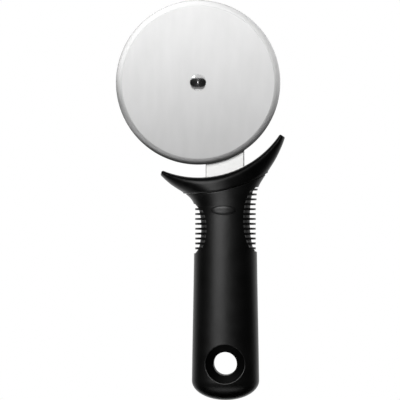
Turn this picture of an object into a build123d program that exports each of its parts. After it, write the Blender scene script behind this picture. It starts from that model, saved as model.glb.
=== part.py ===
from build123d import *
import math
import os

# Pizza cutter wheel: a stainless disc that spins on a riveted axle at the end of a cast arm,
# whose tang is pinned in a soft-gripped handle below a crescent guard for the thumb.
# Millimetres. The origin is the centre of the hanging hole, at mid-depth of the handle.
# +Z points from the hole to the wheel, +X to the right and -Y to the front.

# Cutting wheel
wheel_diameter = 101.6
wheel_thickness = 1.2
wheel_bevel_width = 3.4
wheel_edge_thickness = 0.2
axle_height = 173.65
axle_left = 16.8

# Axle: a two-piece rivet, a flanged bush in the wheel and a washer on each side of it
shank_diameter = 6.0
rivet_head_diameter = 9.9
rivet_head_height = 2.0
rivet_rim_height = 0.3
cap_diameter = 11.0
cap_height = 1.6
cap_edge_round = 0.6
cap_socket_diameter = 4.0
cap_stem_length = 5.0
bush_wall = 1.1
bush_flange_diameter = 12.5
bush_flange_thickness = 0.6
front_washer_diameter = 9.2
front_washer_thickness = 0.5
rear_washer_diameter = 13.5
rear_washer_thickness = 0.8

# Cast arm
arm_thickness = 6.0
arm_width = 23.8
arm_shift = 0.3
arm_head_diameter = 25.0
arm_straight = 22.4
arm_edge_chamfer = 0.5
tang_width = 15.0
tang_length = 47.0
tang_corner = 3.0

# Tang pins
pin_diameter = 3.0
pin_length = 15.0

# Thumb guard
guard_gap = 7.9
guard_height = 10.0
guard_arc_slack = 1.5
guard_arc_shift = 0.4
guard_right_tip_thickness = 2.9
guard_left_tip_thickness = 1.6
seam_arc_slack = 27.5
seam_arc_shift = 3.2
guard_floor = 4.0
guard_edge_round = 1.0
seam_edge_round = 0.3
guard_right_tip_angle = 32.0
guard_left_tip_angle = 67.6

# Handle outline
grip_width = 38.5
grip_end_width = 41.7
grip_depth = 27.0
grip_end_depth = 24.6
grip_end_level = 10.55
grip_end_height = 12.2
flare_start = 7.6
flare_depth = 28.4

# Side scoops and their fins
scoop_depth = 4.2
scoop_end_depth = 0.35
scoop_wrap_radius = 17.8
scoop_low = 35.9
scoop_right_length = 39.9
scoop_left_length = 30.5
scoop_left_drop = 1.0
fin_pitch = 3.03
fin_tip_thickness = 0.8
fin_root_thickness = 1.4
fin_first_rise = 2.1
fin_top_margin = 1.0
fin_inset = 0.45

# Bare oval place on the front of the grip
oval_width = 16.5
oval_height = 6.0
oval_left = 0.9
oval_drop = 10.3
oval_groove = 0.5

# Rigid core and the hanging hole
core_width = 25.2
core_depth = 20.0
hole_diameter = 14.5
hole_ring_diameter = 23.6
hole_bore_length = 15.0
hole_ring_drop = 2.1
hole_lip_round = 0.5

# Clearances
running_fit = 0.05
press_fit = 0.01
seat_fit = 0.1
moulded_fit = 0.05
seam_gap = 0.15
cut_overrun = 20.0

# Shares of the flare's height up to the left tip, and of its reach to the left and right tips
low_flare_shares = (
    (0.000, 0.000, 0.000),
    (0.208, 0.087, 0.000),
    (0.396, 0.274, 0.009),
    (0.626, 0.604, 0.072),
    (1.000, 1.000, 0.317),
)
# The same from the left tip up to the right tip. On the left the flare runs on past its tip,
# where the guard's hollow takes it away again.
high_flare_shares = (
    (0.170, 1.209, 0.468),
    (0.352, 1.434, 0.627),
    (0.566, 1.714, 0.780),
    (0.788, 1.941, 0.914),
    (1.000, 2.099, 1.011),
    (1.217, 2.216, 1.095),
)
# Shares of the grip's length from its widest level to the flare, and of its change of width
grip_shares = ((0.00, 1.00), (0.33, 0.62), (0.68, 0.20), (0.90, 0.03), (1.00, 0.00))
# Heights of the two pins, as shares of the tang's length from its end
pin_height_shares = (0.26, 0.68)
# The fins below this share of the right and the left scoop have their tips trimmed
right_trim_share = 0.78
left_trim_share = 0.92
# Angle that each scoop is swept through, in degrees
scoop_sweep = 100

# Levels and radii worked out from the sizes above
wheel_radius = wheel_diameter / 2
seam_level = axle_height - wheel_radius - guard_gap - guard_height
guard_arc_radius = wheel_radius + guard_gap + guard_arc_slack
guard_arc_level = axle_height - wheel_radius - guard_gap + guard_arc_radius
seam_arc_radius = guard_arc_radius + seam_arc_slack
right_tip_turn = math.radians(guard_right_tip_angle)
left_tip_turn = math.radians(guard_left_tip_angle)
right_tip_radius = guard_arc_radius + guard_right_tip_thickness
left_tip_radius = guard_arc_radius + guard_left_tip_thickness
right_tip_level = axle_height - right_tip_radius * math.sin(right_tip_turn)
left_tip_level = axle_height - left_tip_radius * math.sin(left_tip_turn)
flare_level = seam_level - flare_start
flare_right_reach = right_tip_radius * math.cos(right_tip_turn) - axle_left - grip_width / 2
flare_left_reach = left_tip_radius * math.cos(left_tip_turn) + axle_left - grip_width / 2
shoulder_level = seam_level + guard_floor
arm_bend_level = shoulder_level + arm_straight
tang_end_level = shoulder_level - tang_length

# Faces of the axle stack, from the arm's front face outwards
arm_face = arm_thickness / 2
rear_washer_face = arm_face + rear_washer_thickness
bush_flange_face = rear_washer_face + running_fit + bush_flange_thickness
wheel_face = bush_flange_face + wheel_thickness
front_washer_back = wheel_face + running_fit
head_seat = front_washer_back + front_washer_thickness
wheel_middle = wheel_face - wheel_thickness / 2

axle_place = Pos(-axle_left, 0, axle_height)


def turned(points, place=axle_place):
    """A solid turned about the Y axis from (radius, distance to the front) points."""
    outline = Polyline(*[(radius, -front) for radius, front in points], close=True)
    return place * revolve(make_face(outline), Axis.Y)


def rod(diameter, back, front, place=axle_place):
    """A round bar along Y, from its back end to its front end, both counted to the front."""
    middle = (back + front) / 2
    bar = Cylinder(diameter / 2, front - back, rotation=(90, 0, 0))
    return place * Pos(0, -middle, 0) * bar


def ring(outer, inner, back, front, place=axle_place):
    """A flat ring about the Y axis."""
    bore = rod(inner, back - cut_overrun, front + cut_overrun, place)
    return rod(outer, back, front, place) - bore


def oval_loft(stations, inset):
    """A loft through level ovals, each given as (level, left, right, depth)."""
    faces = []
    for level, left, right, depth in stations:
        oval = Ellipse((right - left) / 2 - inset, depth / 2 - inset)
        faces.append(Plane.XY.offset(level) * Pos((left + right) / 2, 0) * oval)
    return loft(faces)


def handle_form(inset=0.0):
    """The handle's whole outer form, grip and guard together, drawn in by an even inset."""
    stem = []
    for length_share, width_share in grip_shares:
        level = -grip_end_level + (flare_level + grip_end_level) * length_share
        width = grip_width + (grip_end_width - grip_width) * width_share
        depth = grip_depth + (grip_end_depth - grip_depth) * width_share
        stem.append((level, -width / 2, width / 2, depth))
    flare = []
    ranges = (
        (flare_level, left_tip_level, low_flare_shares),
        (left_tip_level, right_tip_level, high_flare_shares),
    )
    for bottom, top, shares in ranges:
        for height_share, left_share, right_share in shares:
            level = bottom + (top - bottom) * height_share
            left = -grip_width / 2 - flare_left_reach * left_share
            right = grip_width / 2 + flare_right_reach * right_share
            rise = (level - flare_level) / (right_tip_level - flare_level)
            flare.append((level, left, right, grip_depth + (flare_depth - grip_depth) * rise))
    end_size = (grip_end_width / 2 - inset, grip_end_depth / 2 - inset, grip_end_height - inset)
    end_ball = scale(Sphere(1), by=end_size)
    below = Pos(0, 0, -cut_overrun) * Box(2 * grip_end_width, 2 * grip_end_width, 2 * cut_overrun)
    end = Pos(0, 0, -grip_end_level) * (end_ball & below)
    return oval_loft(stem, inset) + oval_loft(flare, inset) + end


def seam_cylinder(gap=0.0):
    """The large cylinder whose underside is the seam between guard and grip."""
    place = Pos(-axle_left - seam_arc_shift, 0, seam_level + seam_arc_radius)
    return rod(2 * (seam_arc_radius + gap), -grip_end_width, grip_end_width, place)


def swept_round_grip(outline, turn):
    """Sweeps an outline of (radius, level) points round one side of the grip."""
    ring = revolve(Plane.XZ * make_face(outline), Axis.Z, scoop_sweep)
    axis_x = grip_width / 2 - scoop_wrap_radius - scoop_depth
    return Rot(0, 0, turn) * Pos(axis_x, 0, 0) * Rot(0, 0, -scoop_sweep / 2) * ring


def scoop_cutters(turn, length, low, trim_share):
    """What one scoop takes from the grip: the gaps between its fins and a trim of their tips."""
    half = length / 2
    edge = scoop_wrap_radius + scoop_depth
    reach = edge + scoop_depth
    first = seam_level - scoop_low + fin_first_rise
    count = int((low + length - fin_top_margin - first) / fin_pitch) + 1
    levels = [first + fin_pitch * step for step in range(count)]
    starts = [low] + [level + fin_root_thickness / 2 for level in levels]
    ends = [level - fin_root_thickness / 2 for level in levels] + [low + length]
    flank = (fin_root_thickness - fin_tip_thickness) / 2
    cutters = []
    for step, (bottom, top) in enumerate(zip(starts, ends)):
        depths = []
        for level in (bottom, top):
            bow = math.sqrt(max(0, 1 - ((level - low - half) / half) ** 2))
            depths.append(scoop_end_depth + (scoop_depth - scoop_end_depth) * bow)
        lower = bottom if step == 0 else bottom - flank
        upper = top if step == count else top + flank
        outline = Polyline(
            (edge - depths[0], bottom), (reach, lower), (reach, upper),
            (edge - depths[1], top), close=True)
        cutters.append(swept_round_grip(outline, turn))
    trim_top = low + length * trim_share
    trim = Polyline(
        (edge - fin_inset, starts[0]), (reach, starts[0]), (reach, trim_top),
        (edge - fin_inset, trim_top), close=True)
    return cutters + [swept_round_grip(trim, turn)]


def make_cutting_wheel():
    """The disc, ground to an edge from both sides, with the bush's hole."""
    bore = shank_diameter / 2 + running_fit + bush_wall + press_fit
    flat = wheel_radius - wheel_bevel_width
    back = wheel_middle - wheel_edge_thickness / 2
    front = wheel_middle + wheel_edge_thickness / 2
    return turned([
        (bore, bush_flange_face), (flat, bush_flange_face), (wheel_radius, back),
        (wheel_radius, front), (flat, wheel_face), (bore, wheel_face),
    ])


def make_wheel_bush():
    """The bush pressed into the wheel, which runs on the rivet's shank."""
    bore = shank_diameter + 2 * running_fit
    back = rear_washer_face + running_fit
    sleeve = ring(bore + 2 * bush_wall, bore, back, wheel_face)
    flange = ring(bush_flange_diameter, bore, back, bush_flange_face)
    return sleeve + flange


def make_front_washer():
    """The washer between the rivet's head and the wheel."""
    return ring(front_washer_diameter, shank_diameter + 2 * press_fit, front_washer_back, head_seat)


def make_rear_washer():
    """The washer between the wheel's bush and the arm."""
    return ring(rear_washer_diameter, shank_diameter + 2 * press_fit, arm_face, rear_washer_face)


def make_rivet_post():
    """The front half of the rivet: a domed head on a shank with a socket behind."""
    edge = rivet_head_diameter / 2
    rim = head_seat + rivet_rim_height
    top = head_seat + rivet_head_height
    half_turn = math.atan((top - rim) / edge)
    curve = edge / math.sin(2 * half_turn)
    halfway = (curve * math.sin(half_turn), curve * (1 - math.cos(half_turn)) - top)
    sides = Polyline((0, -top), (0, -head_seat), (edge, -head_seat), (edge, -rim))
    dome = ThreePointArc((edge, -rim), halfway, (0, -top))
    head = axle_place * revolve(make_face([*sides.edges(), dome]), Axis.Y)
    shank = rod(shank_diameter, -arm_face, head_seat)
    socket_size = cap_socket_diameter + 2 * press_fit
    socket = rod(socket_size, -arm_face - cut_overrun, -arm_face + cap_stem_length + seat_fit)
    return head + shank - socket


def make_rivet_cap():
    """The rear half of the rivet: a low cap whose stem is pressed into the shank."""
    cap = rod(cap_diameter, -arm_face - cap_height, -arm_face)
    rear_rim = cap.edges().filter_by(GeomType.CIRCLE).sort_by(Axis.Y)[-1]
    cap = fillet(rear_rim, cap_edge_round)
    return cap + rod(cap_socket_diameter, -arm_face, -arm_face + cap_stem_length)


def arm_outline():
    """The arm's outline seen from the front, from its shoulders to its round head."""
    left = -arm_width / 2 - arm_shift
    right = arm_width / 2 - arm_shift
    head = arm_head_diameter / 2
    slant = math.radians(30)
    head_left = (-axle_left - head * math.cos(slant / 2), axle_height - head * math.sin(slant / 2))
    head_top = (-axle_left, axle_height + head)
    head_right = (-axle_left + head * math.cos(slant), axle_height + head * math.sin(slant))
    low_left = Line((left, shoulder_level), (left, arm_bend_level))
    rise_left = Spline(
        low_left @ 1, head_left,
        tangents=[(0, 1), (-math.sin(slant / 2), math.cos(slant / 2))],
    )
    crown = ThreePointArc(rise_left @ 1, head_top, head_right)
    fall_right = Spline(
        crown @ 1, (right, arm_bend_level),
        tangents=[(math.sin(slant), -math.cos(slant)), (0, -1)],
    )
    low_right = Line(fall_right @ 1, (right, shoulder_level))
    foot = Line(low_right @ 1, low_left @ 0)
    return Curve() + [low_left, rise_left, crown, fall_right, low_right, foot]


def tang_block(fit=0.0):
    """The tang below the shoulders, with a clearance where it cuts its own socket."""
    width = tang_width + 2 * fit
    length = tang_length + fit
    face = Rectangle(width, length)
    face = chamfer(face.vertices().group_by(Axis.Y)[0], tang_corner)
    block = extrude(Plane.XZ * face, arm_thickness / 2 + fit, both=True)
    return Pos(-arm_shift, 0, shoulder_level - length / 2) * block


def shoulder_slot():
    """The room that the arm's shoulders take in the guard and in the core's upper corners."""
    height = axle_height - shoulder_level
    slot = Box(arm_width + 2 * seat_fit, arm_thickness + 2 * seat_fit, height)
    return Pos(-arm_shift, 0, shoulder_level + height / 2) * slot


def pin_rods(fit=0.0):
    """The two pins that cross the core and the tang, or their holes."""
    rods = []
    for share in pin_height_shares:
        place = Pos(-arm_shift, 0, tang_end_level + tang_length * share)
        half = pin_length / 2 + fit
        rods.append(rod(pin_diameter + 2 * fit, -half, half, place))
    return rods


def make_yoke_arm():
    """The cast arm: chamfered plate, tang, rivet hole and pin holes."""
    plate = extrude(make_face(Plane.XZ * arm_outline()), arm_thickness / 2, both=True)
    long_edges = [e for e in plate.edges() if abs(e.center().Y) > arm_thickness / 4]
    rim = [e for e in long_edges if e.center().Z > shoulder_level + arm_edge_chamfer]
    plate = chamfer(rim, arm_edge_chamfer)
    bore = rod(shank_diameter + 2 * press_fit, -cut_overrun, cut_overrun)
    return plate + tang_block() - bore - pin_rods(press_fit)


def make_thumb_guard():
    """The hard crescent guard, with a stepped slot that the arm's shoulders seat in."""
    arc_place = Pos(-axle_left + guard_arc_shift, 0, guard_arc_level)
    hollow = rod(2 * guard_arc_radius, -grip_end_width, grip_end_width, arc_place)
    guard = (handle_form() & seam_cylinder()) - hollow
    half_space = Box(4 * seam_arc_radius, 2 * seam_arc_radius, 2 * seam_arc_radius)
    guard -= axle_place * Rot(0, guard_right_tip_angle, 0) * Pos(0, 0, seam_arc_radius) * half_space
    guard -= axle_place * Rot(0, -guard_left_tip_angle, 0) * Pos(0, 0, seam_arc_radius) * half_space
    guard = guard.solids().sort_by(SortBy.VOLUME)[-1]
    caps = guard.faces().filter_by(GeomType.PLANE)
    rim = guard.faces().filter_by(GeomType.CYLINDER).sort_by(Axis.Z)[-1]
    guard = fillet(caps.edges() + rim.edges().sort_by(SortBy.LENGTH)[-2:], guard_edge_round)
    underside = guard.faces().filter_by(GeomType.CYLINDER).sort_by(Axis.Z)[0]
    guard = fillet(underside.edges(), seam_edge_round)
    return guard - shoulder_slot() - tang_block(seat_fit)


def make_handle_core():
    """The rigid core: an oval bar with the tang's socket, and the ring round the hole."""
    height = seam_level + cut_overrun
    bar = extrude(Ellipse(core_width / 2, core_depth / 2), height)
    boss = rod(hole_ring_diameter, -grip_depth, grip_depth, Pos(0, 0, 0))
    core = bar + (boss & handle_form(moulded_fit))
    ring_edge = hole_ring_diameter / 2
    bore_edge = hole_diameter / 2
    dish_top = grip_end_depth / 2 - hole_ring_drop
    for turn in (0, 180):
        dish = turned([
            (0, hole_bore_length / 2), (bore_edge, hole_bore_length / 2), (ring_edge, dish_top),
            (ring_edge + moulded_fit, dish_top), (ring_edge + moulded_fit, grip_depth), (0, grip_depth),
        ], Pos(0, 0, 0))
        core -= Rot(0, 0, turn) * dish
    core -= rod(hole_diameter, -grip_depth, grip_depth, Pos(0, 0, 0))
    core -= seam_cylinder(seam_gap)
    return core - shoulder_slot() - tang_block(seat_fit) - pin_rods(press_fit)


def make_grip_sleeve():
    """The soft sleeve over the core, with a finned scoop on each side and the bare oval."""
    grip = handle_form() - seam_cylinder(seam_gap)
    collar = grip.faces().filter_by(GeomType.CYLINDER)[0]
    grip = fillet(collar.edges(), seam_edge_round)
    grip -= rod(hole_ring_diameter + 2 * moulded_fit, -grip_depth, grip_depth, Pos(0, 0, 0))
    wall = [face for face in grip.faces().filter_by(GeomType.CYLINDER) if face.center().Z < hole_diameter]
    lips = [edge for face in wall for edge in face.edges() if edge.geom_type != GeomType.LINE]
    grip = fillet(lips, hole_lip_round)
    low = seam_level - scoop_low
    grip -= scoop_cutters(0, scoop_right_length, low, right_trim_share)
    grip -= scoop_cutters(180, scoop_left_length, low - scoop_left_drop, left_trim_share)
    oval = Ellipse(oval_width / 2, oval_height / 2)
    oval -= Ellipse(oval_width / 2 - oval_groove, oval_height / 2 - oval_groove)
    level = seam_level - oval_drop
    groove = extrude(Plane.XZ * Pos(-oval_left, level) * oval, grip_depth)
    grip -= groove - handle_form(oval_groove)
    core_oval = Ellipse(core_width / 2 + moulded_fit, core_depth / 2 + moulded_fit)
    return grip - extrude(core_oval, axle_height)


def make_tang_pins():
    """The two pins, as one group of separate solids."""
    return Compound(children=pin_rods())


makers = {
    "cutting_wheel": make_cutting_wheel,
    "wheel_bush": make_wheel_bush,
    "front_washer": make_front_washer,
    "rear_washer": make_rear_washer,
    "rivet_post": make_rivet_post,
    "rivet_cap": make_rivet_cap,
    "yoke_arm": make_yoke_arm,
    "thumb_guard": make_thumb_guard,
    "handle_core": make_handle_core,
    "grip_sleeve": make_grip_sleeve,
    "tang_pins": make_tang_pins,
}

os.makedirs("parts", exist_ok=True)
for name, maker in makers.items():
    export_step(maker(), f"parts/{name}.step")
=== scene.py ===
"""The looks of a pizza cutter wheel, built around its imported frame.

Metres. The origin is the centre of the hanging hole, +Z points from it to the wheel, +X to the
right and -Y to the front. The wheel and the round pieces of its axle are turned afresh, the guard
is drawn again over its solid, and the other pieces keep their solids and are dressed with finishes.
"""

import logging
import math
from dataclasses import dataclass, field
from enum import Enum

import bmesh
import bpy
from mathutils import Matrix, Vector
from mathutils.bvhtree import BVHTree


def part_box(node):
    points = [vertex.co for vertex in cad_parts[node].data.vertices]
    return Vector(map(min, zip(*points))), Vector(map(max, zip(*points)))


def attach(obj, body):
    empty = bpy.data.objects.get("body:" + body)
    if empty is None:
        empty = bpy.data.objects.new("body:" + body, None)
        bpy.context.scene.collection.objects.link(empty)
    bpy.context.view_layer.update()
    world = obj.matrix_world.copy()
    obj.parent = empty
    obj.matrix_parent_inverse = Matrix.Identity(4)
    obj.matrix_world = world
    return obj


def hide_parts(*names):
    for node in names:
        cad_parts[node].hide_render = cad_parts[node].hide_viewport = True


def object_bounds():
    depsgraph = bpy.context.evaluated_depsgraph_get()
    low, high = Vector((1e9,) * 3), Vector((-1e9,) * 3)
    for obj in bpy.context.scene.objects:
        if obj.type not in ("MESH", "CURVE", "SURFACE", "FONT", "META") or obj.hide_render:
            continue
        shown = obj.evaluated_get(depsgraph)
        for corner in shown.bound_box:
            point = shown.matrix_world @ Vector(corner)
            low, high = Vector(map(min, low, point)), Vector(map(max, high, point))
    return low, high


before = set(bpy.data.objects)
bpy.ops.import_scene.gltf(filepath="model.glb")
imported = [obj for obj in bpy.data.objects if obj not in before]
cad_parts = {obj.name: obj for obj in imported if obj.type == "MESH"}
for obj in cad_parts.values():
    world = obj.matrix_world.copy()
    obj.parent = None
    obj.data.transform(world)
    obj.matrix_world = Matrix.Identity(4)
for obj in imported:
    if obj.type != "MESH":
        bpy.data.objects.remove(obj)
cad_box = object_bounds()

log = logging.getLogger("cutter")
MM = 0.001
MERGE_DISTANCE = 1e-7
NOISE_SPAN = (0.3, 0.7)
FULL_SPAN = (0.0, 1.0)
WHITE = (1.0, 1.0, 1.0, 1.0)

Point2 = tuple[float, float]
Colour = tuple[float, float, float]
Socket = bpy.types.NodeSocket


class Body(Enum):
    """The two bodies that pieces ride on."""

    HANDLE = "handle"
    WHEEL = "wheel"


class Slot(Enum):
    """The record's material slots."""

    BLADE = "blade_steel"
    RIVET = "rivet_steel"
    BUSH = "bush_plastic"
    ARM = "cast_arm"
    GUARD = "hard_black"
    CORE = "core_black"
    GRIP = "soft_black"
    PIN = "pin_steel"


class Reach(Enum):
    """How a lamp treats the pieces named with it. Glossy pieces mirror lamps of their own."""

    ALL_BUT = "EXCLUDE"
    ONLY = "INCLUDE"


class Board:
    """A node tree, with short ways to add to it."""

    def __init__(self, tree: bpy.types.NodeTree) -> None:
        """Takes a tree.

        Args:
            tree: the material's or the world's node tree.
        """
        self.nodes = tree.nodes
        self.links = tree.links

    def link(self, source: Socket, target: Socket) -> None:
        """Joins two sockets."""
        self.links.new(source, target)

    def math(self, operation: str, *values: Socket | float) -> Socket:
        """A number worked out from others.

        Args:
            operation: what is done with them.
            *values: sockets or plain numbers, in the operation's order.

        Returns:
            The result.
        """
        node = self.nodes.new("ShaderNodeMath")
        node.operation = operation
        for value, target in zip(values, node.inputs):
            if isinstance(value, Socket):
                self.link(value, target)
            else:
                target.default_value = value
        return node.outputs[0]

    def spread(self, value: Socket, source: Point2, target: Point2, smooth: bool = False) -> Socket:
        """Maps a value from one range to another, held at its ends.

        Args:
            value: what is mapped.
            source: the range that it is read in.
            target: the range that it is turned into.
            smooth: whether it starts and ends gently.

        Returns:
            The mapped value.
        """
        node = self.nodes.new("ShaderNodeMapRange")
        node.interpolation_type = "SMOOTHSTEP" if smooth else "LINEAR"
        node.inputs["From Min"].default_value, node.inputs["From Max"].default_value = source
        node.inputs["To Min"].default_value, node.inputs["To Max"].default_value = target
        self.link(value, node.inputs["Value"])
        return node.outputs["Result"]

    def pick(self, factor: Socket, one: Socket, other: Socket) -> Socket:
        """One of two shaders.

        Args:
            factor: 0 for the first shader and 1 for the second.
            one: the first shader.
            other: the second shader.

        Returns:
            The picked shader.
        """
        node = self.nodes.new("ShaderNodeMixShader")
        for source, target in zip((factor, one, other), node.inputs):
            self.link(source, target)
        return node.outputs[0]


class NodeBoard(Board):
    """A material's nodes around one Principled shader."""

    def __init__(self, name: str) -> None:
        """Starts a material.

        Args:
            name: the finish's name.
        """
        self.material = bpy.data.materials.new(name)
        self.material.use_nodes = True
        super().__init__(self.material.node_tree)
        self.shader = self.nodes["Principled BSDF"]
        self.coordinates = self.nodes.new("ShaderNodeTexCoord").outputs["Object"]

    def constants(self, **values: float | Colour) -> None:
        """Sets numbers and colours on the shader's own sockets.

        Args:
            **values: the sockets' names, with underscores for blanks, and what they are set to.
        """
        for name, value in values.items():
            title = name.replace("_", " ").title().replace("Ior", "IOR")
            if isinstance(value, tuple):
                value = (*value, 1.0)
            self.shader.inputs[title].default_value = value

    def stretch(self, scale: tuple[float, float, float], centre: Vector = Vector()) -> Socket:
        """Object coordinates counted from a centre and stretched along each axis.

        Args:
            scale: how many pattern units go into a metre, along X, Y and Z.
            centre: the point that the pattern is counted from.

        Returns:
            The vector socket for a texture.
        """
        mapping = self.nodes.new("ShaderNodeMapping")
        mapping.inputs["Scale"].default_value = scale
        mapping.inputs["Location"].default_value = [-c * s for c, s in zip(centre, scale)]
        self.link(self.coordinates, mapping.inputs["Vector"])
        return mapping.outputs["Vector"]

    def noise(self, vector: Socket, detail: float = 2.0, roughness: float = 0.5) -> Socket:
        """Noise of one unit's grain.

        Args:
            vector: where the noise is read.
            detail: how many finer layers it has.
            roughness: how strong those layers are.

        Returns:
            The noise's value, around a half.
        """
        node = self.nodes.new("ShaderNodeTexNoise")
        node.inputs["Scale"].default_value = 1.0
        node.inputs["Detail"].default_value = detail
        node.inputs["Roughness"].default_value = roughness
        self.link(vector, node.inputs["Vector"])
        return node.outputs["Fac"]

    def dot(self, vector: Socket, direction: Colour) -> Socket:
        """How far a vector goes along a direction."""
        node = self.nodes.new("ShaderNodeVectorMath")
        node.operation = "DOT_PRODUCT"
        node.inputs[1].default_value = direction
        self.link(vector, node.inputs[0])
        return node.outputs["Value"]

    def length_of(self, vector: Socket) -> Socket:
        """A vector's length."""
        node = self.nodes.new("ShaderNodeVectorMath")
        node.operation = "LENGTH"
        self.link(vector, node.inputs[0])
        return node.outputs["Value"]

    def blend(self, factor: Socket, value: Socket, other: float) -> Socket:
        """A number between a pattern's value and a constant.

        Args:
            factor: 0 for the pattern and 1 for the constant.
            value: the pattern's value.
            other: the constant.

        Returns:
            The mixed number.
        """
        node = self.nodes.new("ShaderNodeMix")
        node.data_type = "FLOAT"
        self.link(factor, node.inputs[0])
        self.link(value, node.inputs[2])
        node.inputs[3].default_value = other
        return node.outputs[0]

    def tint(self, factor: Socket, low: Colour, high: Colour) -> Socket:
        """A colour between two.

        Args:
            factor: 0 for the first colour and 1 for the second.
            low: the first colour.
            high: the second colour.

        Returns:
            The mixed colour.
        """
        node = self.nodes.new("ShaderNodeMix")
        node.data_type = "RGBA"
        colours = [s for s in node.inputs if s.type == "RGBA"]
        colours[0].default_value = (*low, 1.0)
        colours[1].default_value = (*high, 1.0)
        self.link(factor, node.inputs[0])
        return next(s for s in node.outputs if s.type == "RGBA")

    def emboss(self, height: Socket, depth: float) -> Socket:
        """A bumped normal.

        Args:
            height: the pattern's height, from 0 to 1.
            depth: what a height of 1 is worth, in metres.

        Returns:
            The normal's socket.
        """
        node = self.nodes.new("ShaderNodeBump")
        node.inputs["Distance"].default_value = depth
        node.inputs["Strength"].default_value = 1.0
        self.link(height, node.inputs["Height"])
        return node.outputs["Normal"]

    def grain_across(self, direction: Colour) -> None:
        """Smears highlights along one direction of the piece, as brush lines square to it do.

        Args:
            direction: the direction, in the piece's own axes.
        """
        turn = self.nodes.new("ShaderNodeVectorTransform")
        turn.vector_type, turn.convert_from, turn.convert_to = "VECTOR", "OBJECT", "WORLD"
        turn.inputs["Vector"].default_value = direction
        self.link(turn.outputs["Vector"], self.shader.inputs["Tangent"])

    def finish(self, colour: Socket, roughness: Socket, normal: Socket | None = None) -> None:
        """Feeds the shader.

        Args:
            colour: the base colour.
            roughness: the roughness.
            normal: the bumped normal, where there is one.
        """
        self.link(colour, self.shader.inputs["Base Color"])
        self.link(roughness, self.shader.inputs["Roughness"])
        if normal is not None:
            self.link(normal, self.shader.inputs["Normal"])


@dataclass(frozen=True)
class BrushedBlade:
    """The wheel's flat faces: satin steel with faint upright brush lines."""

    dark: Colour = (0.475, 0.475, 0.475)
    light: Colour = (0.50, 0.50, 0.50)
    roughness: Point2 = (0.40, 0.45)
    brushing: float = 0.75
    line_width: float = 0.45 * MM
    line_length: float = 30 * MM
    cloud_size: Point2 = (7 * MM, 26 * MM)
    line_depth: float = 0.002 * MM
    line_span: Point2 = (0.25, 0.75)

    def build(self, centre: Vector) -> bpy.types.Material:
        """Makes the material.

        Args:
            centre: the wheel's centre.

        Returns:
            The material.
        """
        board = NodeBoard("brushed_blade")
        board.constants(metallic=1.0, anisotropic=self.brushing)
        board.grain_across((1.0, 0.0, 0.0))
        fine = (1 / self.line_width, 1 / self.line_length, 1 / self.line_length)
        lines = board.noise(board.stretch(fine, centre), detail=3.0, roughness=0.6)
        width, height = self.cloud_size
        clouds = board.noise(board.stretch((1 / width, 1 / width, 1 / height), centre), detail=2.0)
        tone = board.spread(clouds, NOISE_SPAN, FULL_SPAN)
        colour = board.tint(tone, self.dark, self.light)
        roughness = board.spread(lines, self.line_span, self.roughness)
        board.finish(colour, roughness, board.emboss(lines, self.line_depth))
        return board.material


@dataclass(frozen=True)
class GroundEdge:
    """The wheel's bevel: satin steel with fine lines that run round it, its tones darker than the
    flat faces' as painted shade that keeps it no brighter than them under these lamps.
    """

    # Painted shade: darker than the blade's flat faces, so the brightly lit bevel renders no
    # brighter than they do.
    dark: Colour = (0.34, 0.34, 0.34)
    light: Colour = (0.38, 0.38, 0.38)
    roughness: Point2 = (0.34, 0.38)
    brushing: float = 0.75
    line_width: float = 0.12 * MM

    def build(self, centre: Vector) -> bpy.types.Material:
        """Makes the material.

        Args:
            centre: the wheel's centre.

        Returns:
            The material.
        """
        board = NodeBoard("ground_edge")
        board.constants(metallic=1.0, anisotropic=self.brushing)
        board.grain_across((1.0, 0.0, 0.0))
        radius = board.length_of(board.stretch((1.0, 0.0, 1.0), centre))
        rings = board.nodes.new("ShaderNodeTexNoise")
        rings.noise_dimensions = "1D"
        rings.inputs["Scale"].default_value = 1 / self.line_width
        board.link(radius, rings.inputs["W"])
        value = rings.outputs["Fac"]
        colour = board.tint(value, self.dark, self.light)
        board.finish(colour, board.spread(value, NOISE_SPAN, self.roughness))
        return board.material


@dataclass(frozen=True)
class PolishedSteel:
    """The rivet: bright polished steel with faint wear."""

    name: str = "polished_rivet"
    dark: Colour = (0.88, 0.88, 0.88)
    light: Colour = (0.93, 0.93, 0.93)
    roughness: Point2 = (0.15, 0.19)
    wear_size: float = 1.2 * MM
    wear_span: Point2 = (0.35, 0.7)

    def build(self) -> bpy.types.Material:
        """Makes the material, and returns it."""
        board = NodeBoard(self.name)
        board.constants(metallic=1.0)
        wear = board.noise(board.stretch((1 / self.wear_size,) * 3), detail=4.0, roughness=0.7)
        colour = board.tint(wear, self.dark, self.light)
        board.finish(colour, board.spread(wear, self.wear_span, self.roughness))
        return board.material


@dataclass(frozen=True)
class CastAlloy:
    """The arm: pale cast alloy, blasted to a fine even tooth."""

    dark: Colour = (0.90, 0.90, 0.89)
    light: Colour = (0.94, 0.94, 0.93)
    roughness: Point2 = (0.40, 0.50)
    metal_share: float = 0.55
    tooth_size: float = 0.18 * MM
    tooth_depth: float = 0.012 * MM
    flow_size: float = 9 * MM

    def build(self) -> bpy.types.Material:
        """Makes the material, and returns it."""
        board = NodeBoard("cast_alloy")
        board.constants(metallic=self.metal_share)
        tooth = board.noise(board.stretch((1 / self.tooth_size,) * 3), detail=2.0)
        flow = board.noise(board.stretch((1 / self.flow_size,) * 3), detail=2.0)
        colour = board.tint(board.spread(flow, NOISE_SPAN, FULL_SPAN), self.dark, self.light)
        roughness = board.spread(tooth, NOISE_SPAN, self.roughness)
        board.finish(colour, roughness, board.emboss(tooth, self.tooth_depth))
        return board.material


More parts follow.
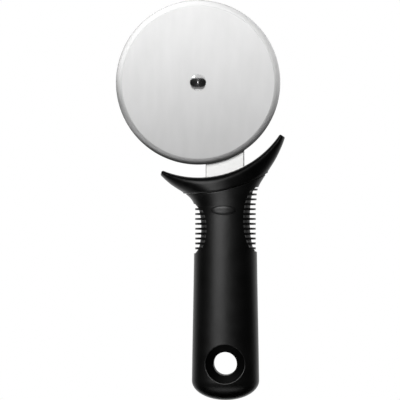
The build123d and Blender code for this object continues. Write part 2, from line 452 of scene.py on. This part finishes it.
@dataclass(frozen=True)
class MouldedPlastic:
    """Hard black plastic with the faint waviness and fine tooth of a moulding."""

    name: str
    dark: Colour
    light: Colour
    roughness: Point2
    gloss: float
    grain_size: float = 0.25 * MM
    grain_depth: float = 0.004 * MM
    wave_size: float = 7 * MM

    def build(self) -> bpy.types.Material:
        """Makes the material, and returns it."""
        board = NodeBoard(self.name)
        board.constants(specular_ior_level=self.gloss)
        grain = board.noise(board.stretch((1 / self.grain_size,) * 3), detail=2.0)
        waves = board.noise(board.stretch((1 / self.wave_size,) * 3), detail=1.0)
        colour = board.tint(waves, self.dark, self.light)
        roughness = board.spread(waves, NOISE_SPAN, self.roughness)
        board.finish(colour, roughness, board.emboss(grain, self.grain_depth))
        return board.material


@dataclass(frozen=True)
class SoftRubber:
    """The grip: satin black rubber with a fine even grain, duller inside the scoops."""

    dark: Colour = (0.001, 0.001, 0.001)
    light: Colour = (0.002, 0.002, 0.002)
    roughness: Point2 = (0.32, 0.38)
    grain_size: float = 0.22 * MM
    grain_depth: float = 0.010 * MM
    patch_size: float = 11 * MM
    section: Point2 = (19.25 * MM, 13.5 * MM)
    recess_edge: Point2 = (0.95, 0.98)
    recess_start: float = 63.35 * MM
    recess_fade: float = 3 * MM
    recess_roughness: float = 0.5
    gloss: float = 0.62
    recess_gloss: float = 0.28

    def build(self) -> bpy.types.Material:
        """Makes the material, and returns it."""
        board = NodeBoard("soft_rubber")
        grain = board.noise(board.stretch((1 / self.grain_size,) * 3), detail=3.0)
        patches = board.noise(board.stretch((1 / self.patch_size,) * 3), detail=2.0)
        colour = board.tint(grain, self.dark, self.light)
        skin = board.spread(patches, NOISE_SPAN, self.roughness)
        width, depth = self.section
        level = board.length_of(board.stretch((1 / width, 1 / depth, 0.0)))
        inside = board.spread(level, self.recess_edge, (1.0, 0.0))
        height = board.stretch((0.0, 0.0, 1.0), Vector((0, 0, self.recess_start)))
        above = board.spread(board.dot(height, (0, 0, 1)), (0.0, self.recess_fade), FULL_SPAN)
        recess = board.math("MULTIPLY", inside, above)
        roughness = board.blend(recess, skin, self.recess_roughness)
        gloss = board.spread(recess, FULL_SPAN, (self.gloss, self.recess_gloss))
        board.link(gloss, board.shader.inputs["Specular IOR Level"])
        board.finish(colour, roughness, board.emboss(grain, self.grain_depth))
        return board.material


@dataclass(frozen=True)
class AcetalPlastic:
    """The bush: milky slippery plastic."""

    dark: Colour = (0.70, 0.69, 0.66)
    light: Colour = (0.78, 0.77, 0.74)
    roughness: Point2 = (0.30, 0.38)
    cloud_size: float = 2.5 * MM

    def build(self) -> bpy.types.Material:
        """Makes the material, and returns it."""
        board = NodeBoard("acetal")
        board.constants(subsurface_weight=0.15, subsurface_scale=0.001)
        clouds = board.noise(board.stretch((1 / self.cloud_size,) * 3))
        colour = board.tint(clouds, self.dark, self.light)
        board.finish(colour, board.spread(clouds, NOISE_SPAN, self.roughness))
        return board.material


def settle(piece: bpy.types.Object, body: Body, slot: Slot, *nodes: str) -> bpy.types.Object:
    """Makes a piece stand for nodes of the frame and ride on a body.

    Args:
        piece: the piece.
        body: the body that it rides on.
        slot: the record's material slot; not used.
        *nodes: the nodes that it replaces.

    Returns:
        The piece.
    """
    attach(piece, body.value)
    if nodes:
        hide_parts(*nodes)
    log.info("%s: %d faces on %s", piece.name, len(piece.data.polygons), body.value)
    return piece


def dress(node: str, material: bpy.types.Material) -> None:
    """Gives a node of the frame its finish.

    Args:
        node: the node's name.
        material: the finish.
    """
    for material_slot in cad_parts[node].material_slots:
        material_slot.material = material
    log.info("%s: dressed with %s", node, material.name)


def object_of(bm: bmesh.types.BMesh, name: str) -> bpy.types.Object:
    """Turns a finished bmesh into an object of the scene.

    Args:
        bm: the bmesh, which is freed.
        name: the object's name.

    Returns:
        The object, with its place in its mesh.
    """
    mesh = bpy.data.meshes.new(name)
    bm.to_mesh(mesh)
    bm.free()
    piece = bpy.data.objects.new(name, mesh)
    bpy.context.scene.collection.objects.link(piece)
    return piece


def smooth(bm: bmesh.types.BMesh) -> None:
    """Turns a bmesh's normals outwards and shades it smooth."""
    bmesh.ops.recalc_face_normals(bm, faces=bm.faces)
    for face in bm.faces:
        face.smooth = True


@dataclass
class Lathe:
    """Turns an outline about a line along Y, rounding its corners first."""

    centre: Vector
    steps: int = 192
    rounding: float = 0.08 * MM
    rounding_steps: int = 3

    def turn(self, name: str, outline: list[Point2], corners: list[int] | None = None,
             closed: bool = True) -> bpy.types.Object:
        """Makes a turned piece.

        Args:
            name: the piece's name.
            outline: its points as (radius, distance to the front), in metres.
            corners: which of the points are rounded, all that lie off the axis by default.
            closed: whether the outline's last point is joined to its first.

        Returns:
            The piece, with its place in its mesh.
        """
        bm = bmesh.new()
        verts = [bm.verts.new((self.centre.x + r, -front, self.centre.z)) for r, front in outline]
        pairs = list(zip(verts, verts[1:]))
        if closed:
            pairs.append((verts[-1], verts[0]))
        for pair in pairs:
            bm.edges.new(pair)
        if corners is None:
            corners = [i for i, (r, _) in enumerate(outline) if r > 0]
        bmesh.ops.bevel(
            bm, geom=[verts[i] for i in corners], offset=self.rounding,
            segments=self.rounding_steps, profile=0.5, affect="VERTICES", material=-1)
        bmesh.ops.spin(
            bm, geom=bm.verts[:] + bm.edges[:], cent=(self.centre.x, 0, self.centre.z),
            axis=(0, 1, 0), angle=math.tau, steps=self.steps, use_merge=True)
        bmesh.ops.remove_doubles(bm, verts=bm.verts, dist=MERGE_DISTANCE)
        smooth(bm)
        piece = object_of(bm, name)
        weighted = piece.modifiers.new("flat_faces", "WEIGHTED_NORMAL")
        weighted.weight = 100
        return piece


def faces_of(node: str) -> tuple[float, float]:
    """The back and front faces of a node, as distances to the front."""
    low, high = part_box(node)
    return -high.y, -low.y


@dataclass
class AxleStack:
    """The cutting wheel with its bush, the two washers and the two halves of the rivet."""

    wheel_steps: int = 288
    wheel_rounding: float = 0.04 * MM
    bevel_width: float = 3.7 * MM
    bevel_steps: int = 12
    edge_thickness: float = 0.2 * MM
    shank_radius: float = 3.0 * MM
    bush_radius: float = 4.15 * MM
    bush_flange: float = 0.6 * MM
    running_gap: float = 0.05 * MM
    head_slopes: tuple[Point2, ...] = (
        (0.0, 0.0), (0.05, 11.0), (0.15, 14.0), (0.5, 18.0), (0.85, 27.0), (1.0, 38.0))
    head_steps: int = 32
    head_rounding: float = 0.1 * MM
    cap_height: float = 1.6 * MM
    cap_crown: float = 0.5 * MM
    cap_profile: tuple[Point2, ...] = ((0.0, 0.0), (0.55, 0.2), (0.86, 1.0), (1.0, 2.0))
    cap_rounding: float = 0.4 * MM
    stem_radius: float = 2.0 * MM
    centre: Vector = field(init=False)

    def __post_init__(self) -> None:
        """Takes the axle's place from the wheel's box."""
        low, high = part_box("cutting_wheel")
        self.centre = (low + high) / 2

    def radius_of(self, node: str) -> float:
        """Half the width of a round node."""
        low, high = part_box(node)
        return (high.x - low.x) / 2

    def build_wheel(self) -> bpy.types.Object:
        """The disc with its ground bevel, in two finishes, the bevel's darker as painted shade."""
        back, front = faces_of("cutting_wheel")
        radius = self.radius_of("cutting_wheel")
        flat = radius - self.bevel_width
        drop = (front - back - self.edge_thickness) / 2
        shares = [step / self.bevel_steps for step in range(self.bevel_steps + 1)]
        face = [(flat + self.bevel_width * share, drop * share ** 2) for share in shares]
        outline = [(self.bush_radius, back)] + [(r, back + fall) for r, fall in face]
        outline += [(r, front - fall) for r, fall in reversed(face)] + [(self.bush_radius, front)]
        corners = [0, self.bevel_steps + 1, self.bevel_steps + 2, len(outline) - 1]
        lathe = Lathe(self.centre, steps=self.wheel_steps, rounding=self.wheel_rounding)
        wheel = lathe.turn("wheel_disc", outline, corners)
        wheel.data.materials.append(BrushedBlade().build(self.centre))
        wheel.data.materials.append(GroundEdge().build(self.centre))
        # Faces beyond the flat take the bevel's finish, whose darker tone is painted shade.
        for face in wheel.data.polygons:
            offset = face.center - self.centre
            face.material_index = int(math.hypot(offset.x, offset.z) > flat)
        return settle(wheel, Body.WHEEL, Slot.BLADE, "cutting_wheel")

    def build_bush(self) -> bpy.types.Object:
        """The flanged bush in the wheel."""
        back, front = faces_of("wheel_bush")
        bore = self.shank_radius + self.running_gap
        edge = self.radius_of("wheel_bush")
        outline = [
            (bore, back), (edge, back), (edge, back + self.bush_flange),
            (self.bush_radius, back + self.bush_flange), (self.bush_radius, front), (bore, front),
        ]
        bush = Lathe(self.centre).turn("bush", outline)
        bush.data.materials.append(AcetalPlastic().build())
        return settle(bush, Body.WHEEL, Slot.BUSH, "wheel_bush")

    def build_washer(self, node: str, name: str, material: bpy.types.Material) -> bpy.types.Object:
        """A flat washer with softened corners.

        Args:
            node: the node that it replaces.
            name: the washer's name.
            material: its finish.

        Returns:
            The washer.
        """
        back, front = faces_of(node)
        edge = self.radius_of(node)
        outline = [
            (self.shank_radius, back), (edge, back), (edge, front), (self.shank_radius, front)]
        washer = Lathe(self.centre).turn(name, outline)
        washer.data.materials.append(material)
        return settle(washer, Body.HANDLE, Slot.RIVET, node)

    def head_profile(self, edge: float) -> list[Point2]:
        """The head's crown, from its slopes.

        Args:
            edge: the head's radius.

        Returns:
            Points as (radius, fall from the top), from the middle outwards.
        """
        points = [(0.0, 0.0)]
        for step in range(self.head_steps):
            share = (step + 0.5) / self.head_steps
            (low, one), (high, two) = next(
                pair for pair in zip(self.head_slopes, self.head_slopes[1:]) if share <= pair[1][0])
            slope = one + (two - one) * (share - low) / (high - low)
            radius, fall = points[-1]
            width = edge / self.head_steps
            points.append((radius + width, fall + width * math.tan(math.radians(slope))))
        return points

    def build_rivet_post(self, material: bpy.types.Material) -> bpy.types.Object:
        """The rivet's front half: a domed head on its shank."""
        back, front = faces_of("rivet_post")
        edge = self.radius_of("rivet_post")
        seat = faces_of("front_washer")[1]
        outline = [(0, back), (self.shank_radius, back), (self.shank_radius, seat), (edge, seat)]
        outline += [(radius, front - fall) for radius, fall in reversed(self.head_profile(edge))]
        post = Lathe(self.centre, rounding=self.head_rounding).turn(
            "rivet_head", outline, corners=[3, 4], closed=False)
        post.data.materials.append(material)
        return settle(post, Body.HANDLE, Slot.RIVET, "rivet_post")

    def build_rivet_cap(self, material: bpy.types.Material) -> bpy.types.Object:
        """The rivet's rear half: a low crowned cap and its stem."""
        back, front = faces_of("rivet_cap")
        edge = self.radius_of("rivet_cap")
        seat, stem = back + self.cap_height, self.stem_radius
        outline = [(edge * share, back + self.cap_crown * rise) for share, rise in self.cap_profile]
        outline += [(edge, seat), (stem, seat), (stem, front), (0, front)]
        cap = Lathe(self.centre, rounding=self.cap_rounding).turn(
            "rivet_back", outline, corners=[1, 2, 3], closed=False)
        cap.data.materials.append(material)
        return settle(cap, Body.HANDLE, Slot.RIVET, "rivet_cap")

    def build(self) -> None:
        """Builds the whole stack, from the wheel outwards."""
        steel = PolishedSteel().build()
        washer_steel = PolishedSteel(name="washer_steel", roughness=(0.2, 0.3)).build()
        self.build_wheel()
        self.build_bush()
        self.build_washer("front_washer", "washer_front", washer_steel)
        self.build_washer("rear_washer", "washer_rear", washer_steel)
        self.build_rivet_post(steel)
        self.build_rivet_cap(steel)


@dataclass
class GuardShell:
    """The thumb guard, drawn again over its solid with the fuller edges of a moulding.

    It is built from stations along the wheel-side arc. Each station runs outwards from the arc
    to the seam, or to the flank where the guard stands clear of the grip, and its depth at each
    point is read from the solid.
    """

    arc_centre: Vector = field(default_factory=lambda: Vector((-16.4 * MM, 0, 175.15 * MM)))
    arc_radius: float = 60.2 * MM
    seam_centre: Vector = field(default_factory=lambda: Vector((-20.0 * MM, 0, 192.65 * MM)))
    seam_radius: float = 87.7 * MM
    seam_overlap: float = 0.10 * MM
    first_turn: float = math.radians(-24)
    last_turn: float = math.radians(59)
    stations: int = 220
    rows: int = 28
    top_round: float = 4.0 * MM
    seam_round: float = 1.1 * MM
    tip_round: float = 1.0 * MM
    solid_round: float = 1.15 * MM
    seam_margin: float = 0.45 * MM
    slope_step: float = 0.5 * MM
    least_reach: float = 0.6 * MM
    probe_step: float = 0.05 * MM
    probe_range: tuple[int, int] = (8, 60)
    halvings: int = 14
    merge_distance: float = 0.004 * MM
    tree: BVHTree = field(init=False)

    def __post_init__(self) -> None:
        """Prepares the solid for reading."""
        bm = bmesh.new()
        bm.from_mesh(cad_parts["thumb_guard"].data)
        self.tree = BVHTree.FromBMesh(bm)
        bm.free()

    def point(self, turn: float, down: float) -> Vector:
        """A point at mid-depth.

        Args:
            turn: the station's angle from straight down, to the right.
            down: the distance outwards from the arc.

        Returns:
            The point.
        """
        reach = self.arc_radius + down
        return self.arc_centre + Vector((reach * math.sin(turn), 0, -reach * math.cos(turn)))

    def read(self, turn: float, down: float) -> float:
        """The solid's half depth at a point, or 0 where it isn't met."""
        start = self.point(turn, down) + Vector((0, -50 * MM, 0))
        hit = self.tree.ray_cast(start, Vector((0, 1, 0)))[0]
        return -hit.y if hit is not None and hit.y < 0 else 0.0

    def seam_reach(self, turn: float) -> float:
        """How far the seam lies from the arc at a station."""
        direction = Vector((math.sin(turn), 0, -math.cos(turn)))
        offset = self.arc_centre - self.seam_centre
        along = offset.dot(direction)
        root = math.sqrt(along ** 2 - offset.length_squared + self.seam_radius ** 2)
        return root - along - self.arc_radius

    def flank_reach(self, turn: float, limit: float) -> float:
        """How far the solid goes from the arc at a station where it ends before the seam."""
        probes = [n * self.probe_step for n in range(*self.probe_range)]
        near = next((probe for probe in probes if self.read(turn, probe)), 0.0)
        far = limit
        for _ in range(self.halvings if near else 0):
            middle = (near + far) / 2
            near, far = (middle, far) if self.read(turn, middle) else (near, middle)
        return near

    def measure(self, turn: float) -> tuple[float, bool]:
        """A station's reach, and whether it ends at the seam."""
        seam = self.seam_reach(turn)
        if self.read(turn, seam - self.seam_margin):
            return seam + self.seam_overlap, True
        return self.flank_reach(turn, seam), False

    def half_depth(self, turn: float, down: float, reach: float, seamed: bool) -> float:
        """The shell's half depth, with its edges rounded over."""
        low = min(self.solid_round, reach / 2)
        high = reach - self.slope_step if seamed else reach
        depth = self.read(turn, min(max(down, low), high))
        if down < low:
            drop = self.read(turn, low) - self.read(turn, low + self.slope_step)
            depth += drop / self.slope_step * (low - down)
        top = min(self.top_round, 0.75 * reach)
        if down < top:
            depth -= min(top, 0.7 * depth) * (1 - math.sqrt(1 - (1 - down / top) ** 2))
        left = reach - down
        if seamed and left < self.seam_round:
            share = 1 - math.sqrt(max(0.0, 1 - (1 - left / self.seam_round) ** 2))
            depth -= min(self.seam_round, 0.5 * depth) * share
        return max(depth, 0.0)

    def tip_drop(self, length: float) -> float:
        """How far the top is rounded down at a length from the nearest tip."""
        share = max(0.0, 1 - length / self.tip_round)
        return self.tip_round * 0.8 * (1 - math.sqrt(1 - share ** 2))

    def build(self, material: bpy.types.Material) -> bpy.types.Object:
        """Builds the shell.

        Args:
            material: its finish.

        Returns:
            The shell, which stands for the guard's solid.
        """
        step = (self.last_turn - self.first_turn) / self.stations
        turns = [self.first_turn + step * n for n in range(self.stations + 1)]
        kept = [(turn, *self.measure(turn)) for turn in turns]
        kept = [entry for entry in kept if entry[1] > self.least_reach]
        bm = bmesh.new()
        loops = []
        for turn, reach, seamed in kept:
            length = min(turn - kept[0][0], kept[-1][0] - turn) * self.arc_radius
            start = min(self.tip_drop(length), reach / 3)
            front, back = [], []
            for row in range(self.rows + 1):
                share = (1 - math.cos(math.pi * row / self.rows)) / 2
                down = start + (reach - start) * share
                depth = self.half_depth(turn, down, reach, seamed)
                place = self.point(turn, down)
                front.append(bm.verts.new(place + Vector((0, -depth, 0))))
                back.append(bm.verts.new(place + Vector((0, depth, 0))))
            loops.append(front + back[::-1])
        for one, two in zip(loops, loops[1:]):
            for i in range(len(one)):
                j = (i + 1) % len(one)
                bm.faces.new((one[i], one[j], two[j], two[i]))
        bm.faces.new(loops[0])
        bm.faces.new(loops[-1])
        bmesh.ops.remove_doubles(bm, verts=bm.verts, dist=self.merge_distance)
        smooth(bm)
        shell = object_of(bm, "guard_shell")
        shell.data.materials.append(material)
        return settle(shell, Body.HANDLE, Slot.GUARD, "thumb_guard")


@dataclass
class OvalPad:
    """The bare oval place on the grip: a low dome inside the solid's groove."""

    middle: Point2 = (-0.9 * MM, 94.65 * MM)
    half_width: float = 7.8 * MM
    half_height: float = 2.55 * MM
    section: Point2 = (19.25 * MM, 13.5 * MM)
    steps: int = 96
    profile: tuple[Point2, ...] = (
        (0.0, 0.24), (0.35, 0.24), (0.6, 0.225), (0.78, 0.19), (0.88, 0.14), (0.94, 0.08),
        (0.98, -0.02), (1.0, -0.15), (1.0, -0.45),
    )

    def build(self, material: bpy.types.Material) -> bpy.types.Object:
        """Builds the pad.

        Args:
            material: the grip's finish.

        Returns:
            The pad.
        """
        bm = bmesh.new()
        width, depth = self.section
        rings = []
        for share, lift in self.profile:
            ring = []
            for step in range(self.steps if share else 1):
                turn = math.tau * step / self.steps
                x = self.middle[0] + self.half_width * share * math.cos(turn)
                z = self.middle[1] + self.half_height * share * math.sin(turn)
                front = depth * math.sqrt(1 - (x / width) ** 2) + lift * MM
                ring.append(bm.verts.new((x, -front, z)))
            rings.append(ring)
        for n in range(self.steps):
            bm.faces.new((rings[0][0], rings[1][n], rings[1][(n + 1) % self.steps]))
        for one, two in zip(rings[1:], rings[2:]):
            for n in range(self.steps):
                m = (n + 1) % self.steps
                bm.faces.new((one[n], two[n], two[m], one[m]))
        underside = bm.faces.new(rings[-1])
        smooth(bm)
        underside.smooth = False
        pad = object_of(bm, "oval_pad")
        pad.data.materials.append(material)
        return settle(pad, Body.HANDLE, Slot.GRIP)


@dataclass
class HandleSet:
    """The arm, guard, core, grip and pins."""

    black: Colour = (0.001, 0.001, 0.001)
    soft_black: Colour = (0.002, 0.002, 0.002)

    def build(self) -> None:
        """Draws the guard's shell and the oval pad, and dresses the other pieces."""
        dress("yoke_arm", CastAlloy().build())
        GuardShell().build(MouldedPlastic(
            "guard_plastic", self.black, self.soft_black, (0.31, 0.37), gloss=0.56).build())
        dress("handle_core", MouldedPlastic(
            "core_plastic", self.black, self.black, (0.45, 0.55), gloss=0.1).build())
        rubber = SoftRubber().build()
        dress("grip_sleeve", rubber)
        OvalPad().build(rubber)
        dress("tang_pins", PolishedSteel(name="pin_steel", roughness=(0.25, 0.35)).build())


@dataclass(frozen=True)
class Softbox:
    """A rectangular lamp that shines at a point, on some of the pieces."""

    name: str
    place: Vector
    target: Vector
    width: float
    height: float
    power: float
    reach: Reach
    pieces: tuple[str, ...]

    def build(self) -> bpy.types.Object:
        """Makes the lamp, and returns it."""
        lamp = bpy.data.lights.new(self.name, "AREA")
        lamp.shape = "RECTANGLE"
        lamp.size, lamp.size_y, lamp.energy = self.width, self.height, self.power
        piece = bpy.data.objects.new(self.name, lamp)
        piece.location = self.place
        piece.rotation_euler = (self.target - self.place).to_track_quat("-Z", "Y").to_euler()
        piece.visible_camera = False
        bpy.context.scene.collection.objects.link(piece)
        named = bpy.data.collections.new(self.name + "_pieces")
        for name in self.pieces:
            named.objects.link(bpy.data.objects[name])
        piece.light_linking.receiver_collection = named
        for entry in named.collection_objects:
            entry.light_linking.link_state = self.reach.value
        return piece


@dataclass(frozen=True)
class Flag:
    """A small level black card that keeps light off, out of the camera's sight."""

    name: str
    place: Vector
    half_width: float
    half_depth: float

    def build(self) -> bpy.types.Object:
        """Makes the card, and returns it."""
        bm = bmesh.new()
        bmesh.ops.create_grid(bm, x_segments=1, y_segments=1, size=1.0)
        bmesh.ops.scale(bm, verts=bm.verts, vec=(self.half_width, self.half_depth, 1))
        bmesh.ops.translate(bm, verts=bm.verts, vec=self.place)
        card = object_of(bm, self.name)
        board = NodeBoard(self.name)
        board.constants(base_color=(0.005, 0.005, 0.005), roughness=0.9, specular_ior_level=0.0)
        card.data.materials.append(board.material)
        card.visible_camera = False
        return card


@dataclass
class Studio:
    """The floor, world, lamps and camera."""

    aim: Vector = field(default_factory=lambda: Vector((-15.8 * MM, 0, 101.05 * MM)))
    eye: Vector = field(default_factory=lambda: Vector((70 * MM, -2.1, 101.05 * MM)))
    frame_width: float = 247.6 * MM
    sensor: float = 36.0
    clip: Point2 = (0.05, 20.0)
    floor_drop: float = 300 * MM
    floor_radius: float = 300 * MM
    floor_colour: Colour = (0.80, 0.80, 0.80)
    floor_glow: float = 0.72
    flag_drop: float = 35 * MM
    flag_size: Point2 = (90 * MM, 34 * MM)
    world_levels: Point2 = (0.01, 0.95)
    world_span: Point2 = (-0.20, 0.70)
    world_lift: float = 0.30
    lamp_distance: float = 0.93
    axle: Vector = field(default_factory=lambda: Vector((-16.8 * MM, 0, 174 * MM)))

    def build_floor(self) -> None:
        """A pale round sheet below the object, white to the camera where no shadow falls.

        Mirrored and refracted rays see it as the camera does.
        """
        bm = bmesh.new()
        bmesh.ops.create_circle(bm, cap_ends=True, segments=96, radius=self.floor_radius)
        bmesh.ops.translate(
            bm, verts=bm.verts, vec=(self.aim.x, 0, cad_box[0][2] - self.floor_drop))
        floor = object_of(bm, "floor")
        board = NodeBoard("floor_paper")
        board.constants(base_color=self.floor_colour, roughness=0.9, specular_ior_level=0.0)
        paper = board.shader.outputs["BSDF"]
        glow = board.nodes.new("ShaderNodeEmission")
        glow.inputs["Strength"].default_value = self.floor_glow
        both = board.nodes.new("ShaderNodeAddShader")
        board.link(paper, both.inputs[0])
        board.link(glow.outputs["Emission"], both.inputs[1])
        path = board.nodes.new("ShaderNodeLightPath").outputs
        mirrored = board.math("MAXIMUM", path["Is Glossy Ray"], path["Is Transmission Ray"])
        seen = board.math("MAXIMUM", path["Is Camera Ray"], mirrored)
        surface = board.pick(seen, paper, both.outputs[0])
        board.link(surface, board.nodes["Material Output"].inputs["Surface"])
        floor.data.materials.append(board.material)

    def build_world(self) -> None:
        """White to the camera, and to everything else bright behind and dim in front."""
        world = bpy.data.worlds.new("studio")
        bpy.context.scene.world = world
        world.use_nodes = True
        board = Board(world.node_tree)
        split = board.nodes.new("ShaderNodeSeparateXYZ")
        board.link(board.nodes.new("ShaderNodeTexCoord").outputs["Generated"], split.inputs[0])
        height = board.math("ABSOLUTE", split.outputs["Z"])
        depth = board.math("MULTIPLY_ADD", height, -self.world_lift, split.outputs["Y"])
        hall, white = board.nodes["Background"], board.nodes.new("ShaderNodeBackground")
        for background in (hall, white):
            background.inputs["Color"].default_value = WHITE
        level = board.spread(depth, self.world_span, self.world_levels, smooth=True)
        board.link(level, hall.inputs["Strength"])
        path = board.nodes.new("ShaderNodeLightPath").outputs
        surface = board.pick(path["Is Camera Ray"], hall.outputs[0], white.outputs[0])
        board.link(surface, board.nodes["World Output"].inputs["Surface"])

    def build_lamps(self) -> None:
        """The soft lamps, and the card under the grip's end."""
        rivet, guard, wheel = ("rivet_head",), ("guard_shell",), ("wheel_disc",)
        axle, ahead, up = self.axle, Vector((0, self.lamp_distance, 0)), Vector((0, 0, 1))
        front = Vector((-0.24, -self.lamp_distance, 0.635))
        side = Vector((-0.26, -self.lamp_distance, 0.40))
        low = Vector((-0.30, -self.lamp_distance, -0.01))
        strip = Vector((-0.07, -self.lamp_distance, 0.22))
        right = Vector((0.70, -0.70, 0.45))
        over, below = axle + Vector((0, -0.31, 0.6)), axle + Vector((0, -0.31, -0.6))
        corner = axle + Vector((-0.60, -0.34, 0.72))
        for box in (
            Softbox(
                "front_box", front, front + ahead, 0.58, 0.88, 8.7, Reach.ALL_BUT, rivet + guard),
            Softbox("guard_box", side, side + ahead, 0.58, 0.72, 3.5, Reach.ONLY, guard),
            Softbox("side_box", right, axle, 0.50, 0.80, 4.0, Reach.ONLY, wheel),
            Softbox("low_box", low, low + ahead, 0.46, 0.16, 0.56, Reach.ALL_BUT, rivet),
            Softbox("over_box", over, over - up, 3.0, 0.82, 4.6, Reach.ONLY, rivet),
            Softbox("below_box", below, below + up, 3.0, 0.82, 1.7, Reach.ONLY, rivet),
            Softbox("strip_box", strip, axle, 0.20, 0.80, 2.6, Reach.ONLY, rivet),
            Softbox("corner_box", corner, axle, 0.60, 0.30, 1.0, Reach.ONLY, rivet),
        ):
            box.build()
        under = Vector((0, 1 * MM, cad_box[0][2] - self.flag_drop))
        Flag("under_flag", under, *self.flag_size).build()

    def build_camera(self) -> None:
        """The camera, at the angle that the hanging hole's far rim gives."""
        camera = bpy.data.cameras.new("camera")
        camera.sensor_width = self.sensor
        camera.lens = self.sensor * (self.aim - self.eye).length / self.frame_width
        camera.clip_start, camera.clip_end = self.clip
        piece = bpy.data.objects.new("camera", camera)
        piece.location = self.eye
        piece.rotation_euler = (self.aim - self.eye).to_track_quat("-Z", "Y").to_euler()
        bpy.context.scene.collection.objects.link(piece)
        bpy.context.scene.camera = piece

    def build(self) -> None:
        """Builds everything around the object."""
        bpy.context.scene.view_settings.view_transform = "Standard"
        self.build_floor()
        self.build_world()
        self.build_lamps()
        self.build_camera()


def main() -> None:
    """Builds the cutter and the studio around it."""
    logging.basicConfig(level=logging.INFO, format="%(name)s: %(message)s")
    AxleStack().build()
    HandleSet().build()
    Studio().build()


if __name__ == "__main__":
    main()
